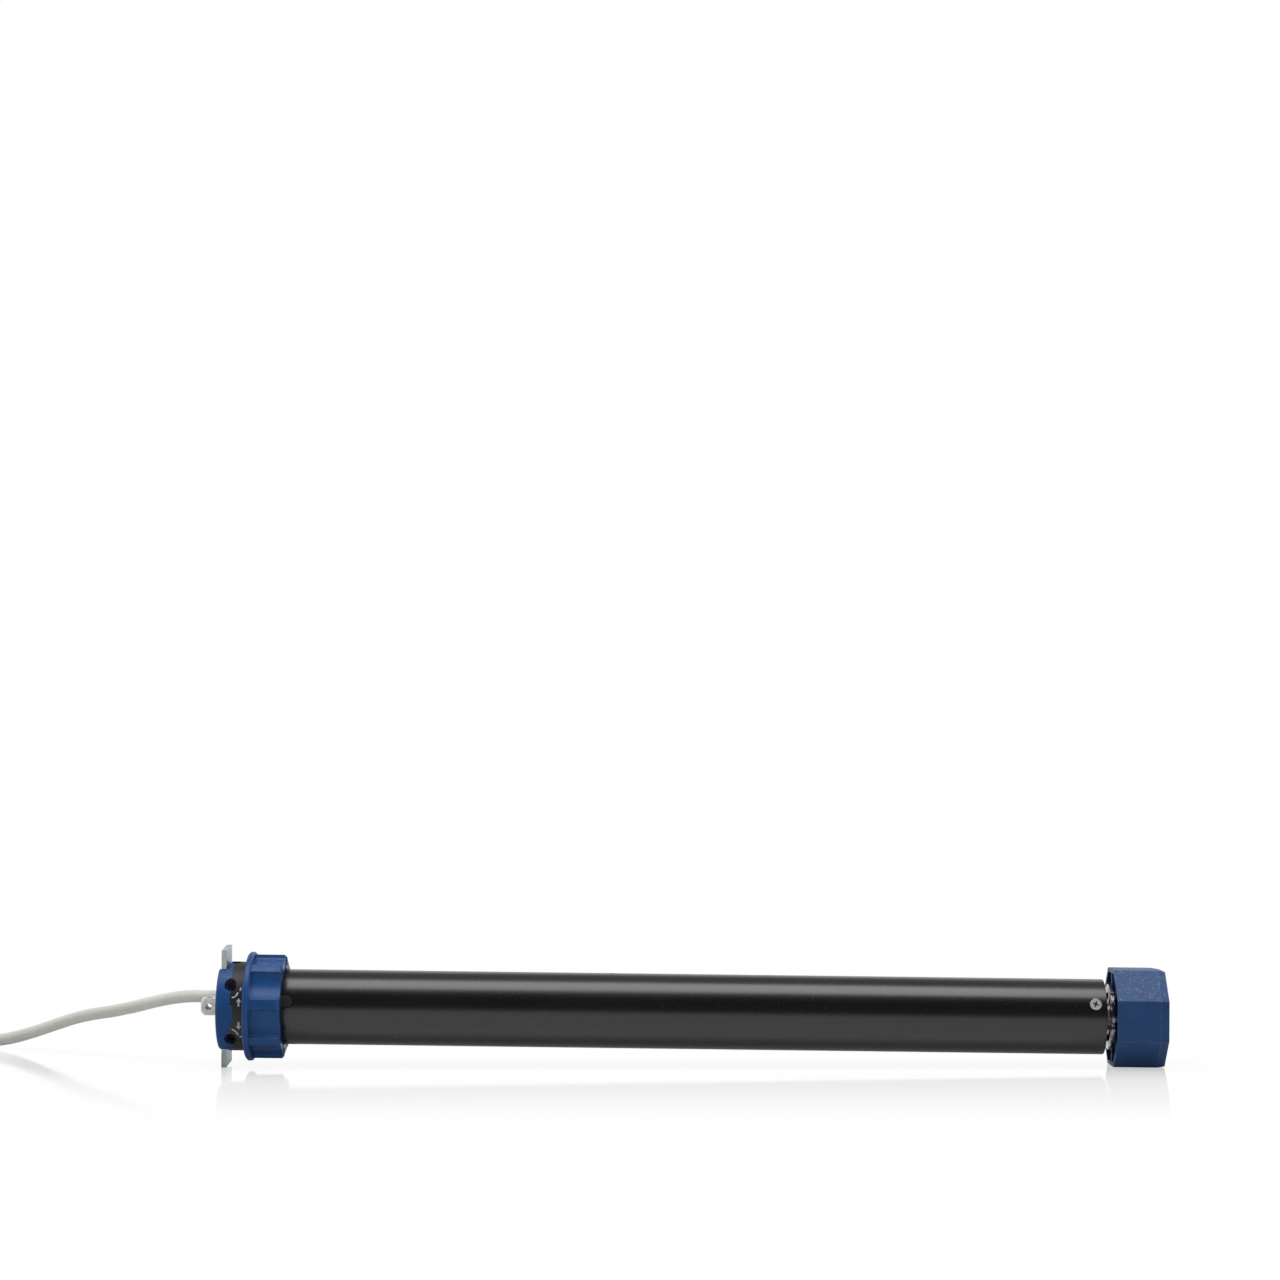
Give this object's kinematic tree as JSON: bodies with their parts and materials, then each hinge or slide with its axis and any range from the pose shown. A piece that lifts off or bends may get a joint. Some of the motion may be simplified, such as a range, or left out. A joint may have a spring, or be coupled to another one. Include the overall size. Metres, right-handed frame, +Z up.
{
  "type": "tubular roller blind motor",
  "caption": "Tubular roller blind motor: steel tube with a round head, bracket plate and square stud, a turning crown, an octagonal drive wheel and a coiled cord.",
  "frame": {"origin": "on the motor axis, in the plane of the head's outer face that the bracket faces", "axes": "+X along the motor axis from the head to the drive wheel; +Z up as the motor lies; -Y towards the viewer"},
  "size_m": [0.8587, 0.1809, 0.0755],
  "materials": {
    "blue_plastic": "satin",
    "wheel_plastic": "satin",
    "black_plastic": "satin",
    "tube_steel": "satin",
    "zinc_plate": "satin",
    "screw_steel": "satin",
    "cord_sheath": "matte",
    "core_insulation": "matte",
    "ferrules": "satin",
    "white_plastic": "matte",
    "switch_black": "matte",
    "brass": "satin",
    "up_purple": "matte",
    "down_dark_blue": "matte",
    "capacitor_can": "satin",
    "cast_alloy": "matte",
    "laminations": "matte",
    "copper": "satin",
    "steel": "satin",
    "friction_lining": "matte",
    "planet_plastic": "satin",
    "planet_steel": "satin"
  },
  "bodies": {
    "motor": {"end_cap": "blue_plastic", "head_body": "black_plastic", "mounting_plate": "zinc_plate", "square_stud": "zinc_plate", "head_screws": "screw_steel", "cable_gland": "black_plastic", "cable_run": "cord_sheath", "cable_coil": "cord_sheath", "cable_tie": "black_plastic", "cable_cores": "core_insulation", "core_ferrules": "ferrules", "lead_wires": "core_insulation", "limit_frame": "white_plastic", "limit_switches": "switch_black", "motor_tube": "tube_steel", "tube_screws": "screw_steel", "stator_rivets": "screw_steel", "capacitor": "capacitor_can", "rear_bell": "cast_alloy", "stator_core": "laminations", "stator_windings": "copper", "front_bell": "cast_alloy", "motor_bearings": "steel", "brake_spring": "steel", "brake_lining": "friction_lining", "brake_housing": "cast_alloy", "gear_sleeve": "steel", "gearbox_end": "cast_alloy", "output_bushes": "brass"},
    "crown": {"crown_ring": "blue_plastic"},
    "limit_pinion": {"limit_pinion": "white_plastic"},
    "up_spindle": {"up_spindle": "brass"},
    "down_spindle": {"down_spindle": "brass"},
    "up_nut": {"up_nut": "white_plastic"},
    "down_nut": {"down_nut": "white_plastic"},
    "up_setting": {"up_setting_screw": "up_purple"},
    "down_setting": {"down_setting_screw": "down_dark_blue"},
    "armature": {"brake_armature": "steel"},
    "rotor": {"rotor_core": "laminations", "rotor_shaft": "steel", "brake_disc": "steel", "sun_gear": "brass"},
    "carrier_one": {"carrier_one": "steel"},
    "carrier_two": {"carrier_two": "steel"},
    "drive": {"output_carrier": "steel", "output_shaft": "steel", "output_flange": "steel", "drive_wheel": "wheel_plastic", "wheel_clip": "screw_steel"},
    "planet_one_a": {"planet_one_a": "planet_plastic"},
    "planet_one_b": {"planet_one_b": "planet_plastic"},
    "planet_one_c": {"planet_one_c": "planet_plastic"},
    "planet_two_a": {"planet_two_a": "planet_plastic"},
    "planet_two_b": {"planet_two_b": "planet_plastic"},
    "planet_two_c": {"planet_two_c": "planet_plastic"},
    "planet_three_a": {"planet_three_a": "planet_steel"},
    "planet_three_b": {"planet_three_b": "planet_steel"},
    "planet_three_c": {"planet_three_c": "planet_steel"}
  },
  "joints": [
    {"name": "crown_spin", "type": "hinge", "parent": "motor", "child": "crown", "pos_m": [0.0275, 0, 0], "axis": [1, 0, 0], "continuous": true},
    {"name": "limit_pinion_spin", "type": "hinge", "parent": "motor", "child": "limit_pinion", "pos_m": [0.026, -0.0018, 0.01942], "axis": [1, 0, 0], "continuous": true},
    {"name": "up_spindle_spin", "type": "hinge", "parent": "motor", "child": "up_spindle", "pos_m": [0.06, -0.00755, 0.01249], "axis": [1, 0, 0], "continuous": true},
    {"name": "down_spindle_spin", "type": "hinge", "parent": "motor", "child": "down_spindle", "pos_m": [0.06, 0.00512, 0.01367], "axis": [1, 0, 0], "continuous": true},
    {"name": "up_nut_slide", "type": "slide", "parent": "motor", "child": "up_nut", "axis": [1, 0, 0], "range_m": [-0.014, 0.018]},
    {"name": "down_nut_slide", "type": "slide", "parent": "motor", "child": "down_nut", "axis": [1, 0, 0], "range_m": [-0.014, 0.018]},
    {"name": "up_setting_turn", "type": "hinge", "parent": "motor", "child": "up_setting", "pos_m": [0.0084, -0.01144, 0.01508], "axis": [0, -0.9957, -0.0924], "continuous": true},
    {"name": "down_setting_turn", "type": "hinge", "parent": "motor", "child": "down_setting", "pos_m": [0.0084, -0.00847, -0.01692], "axis": [0, -0.9957, -0.0924], "continuous": true},
    {"name": "brake_release", "type": "slide", "parent": "motor", "child": "armature", "axis": [1, 0, 0], "range_m": [-0.0005, 0], "stiffness_N_per_m": 1000, "springref_m": 0.004, "deforming": ["brake_spring"]},
    {"name": "rotor_spin", "type": "hinge", "parent": "motor", "child": "rotor", "pos_m": [0.25, 0, 0], "axis": [1, 0, 0], "continuous": true},
    {"name": "carrier_one_spin", "type": "hinge", "parent": "motor", "child": "carrier_one", "pos_m": [0.388, 0, 0], "axis": [1, 0, 0], "continuous": true},
    {"name": "carrier_two_spin", "type": "hinge", "parent": "motor", "child": "carrier_two", "pos_m": [0.408, 0, 0], "axis": [1, 0, 0], "continuous": true},
    {"name": "drive_spin", "type": "hinge", "parent": "motor", "child": "drive", "pos_m": [0.5, 0, 0], "axis": [1, 0, 0], "continuous": true},
    {"name": "planet_one_a_spin", "type": "hinge", "parent": "carrier_one", "child": "planet_one_a", "pos_m": [0.381, 0, 0.01073], "axis": [1, 0, 0], "continuous": true},
    {"name": "planet_one_b_spin", "type": "hinge", "parent": "carrier_one", "child": "planet_one_b", "pos_m": [0.381, -0.00929, -0.00536], "axis": [1, 0, 0], "continuous": true},
    {"name": "planet_one_c_spin", "type": "hinge", "parent": "carrier_one", "child": "planet_one_c", "pos_m": [0.381, 0.00929, -0.00536], "axis": [1, 0, 0], "continuous": true},
    {"name": "planet_two_a_spin", "type": "hinge", "parent": "carrier_two", "child": "planet_two_a", "pos_m": [0.3993, 0, 0.01073], "axis": [1, 0, 0], "continuous": true},
    {"name": "planet_two_b_spin", "type": "hinge", "parent": "carrier_two", "child": "planet_two_b", "pos_m": [0.3993, -0.00929, -0.00536], "axis": [1, 0, 0], "continuous": true},
    {"name": "planet_two_c_spin", "type": "hinge", "parent": "carrier_two", "child": "planet_two_c", "pos_m": [0.3993, 0.00929, -0.00536], "axis": [1, 0, 0], "continuous": true},
    {"name": "planet_three_a_spin", "type": "hinge", "parent": "drive", "child": "planet_three_a", "pos_m": [0.4236, 0, 0.01073], "axis": [1, 0, 0], "continuous": true},
    {"name": "planet_three_b_spin", "type": "hinge", "parent": "drive", "child": "planet_three_b", "pos_m": [0.4236, -0.00929, -0.00536], "axis": [1, 0, 0], "continuous": true},
    {"name": "planet_three_c_spin", "type": "hinge", "parent": "drive", "child": "planet_three_c", "pos_m": [0.4236, 0.00929, -0.00536], "axis": [1, 0, 0], "continuous": true}
  ],
  "couplings": [
    {"joint": "limit_pinion_spin", "follows": "crown_spin", "ratio": 5.3333},
    {"joint": "up_spindle_spin", "follows": "crown_spin", "ratio": -5.3333},
    {"joint": "down_spindle_spin", "follows": "crown_spin", "ratio": -5.3333},
    {"joint": "carrier_one_spin", "follows": "rotor_spin", "ratio": 0.18182},
    {"joint": "carrier_two_spin", "follows": "rotor_spin", "ratio": 0.033058},
    {"joint": "drive_spin", "follows": "rotor_spin", "ratio": 0.0060105},
    {"joint": "planet_one_a_spin", "follows": "rotor_spin", "ratio": -0.46753},
    {"joint": "planet_one_b_spin", "follows": "rotor_spin", "ratio": -0.46753},
    {"joint": "planet_one_c_spin", "follows": "rotor_spin", "ratio": -0.46753},
    {"joint": "planet_two_a_spin", "follows": "rotor_spin", "ratio": -0.085006},
    {"joint": "planet_two_b_spin", "follows": "rotor_spin", "ratio": -0.085006},
    {"joint": "planet_two_c_spin", "follows": "rotor_spin", "ratio": -0.085006},
    {"joint": "planet_three_a_spin", "follows": "rotor_spin", "ratio": -0.015456},
    {"joint": "planet_three_b_spin", "follows": "rotor_spin", "ratio": -0.015456},
    {"joint": "planet_three_c_spin", "follows": "rotor_spin", "ratio": -0.015456}
  ]
}
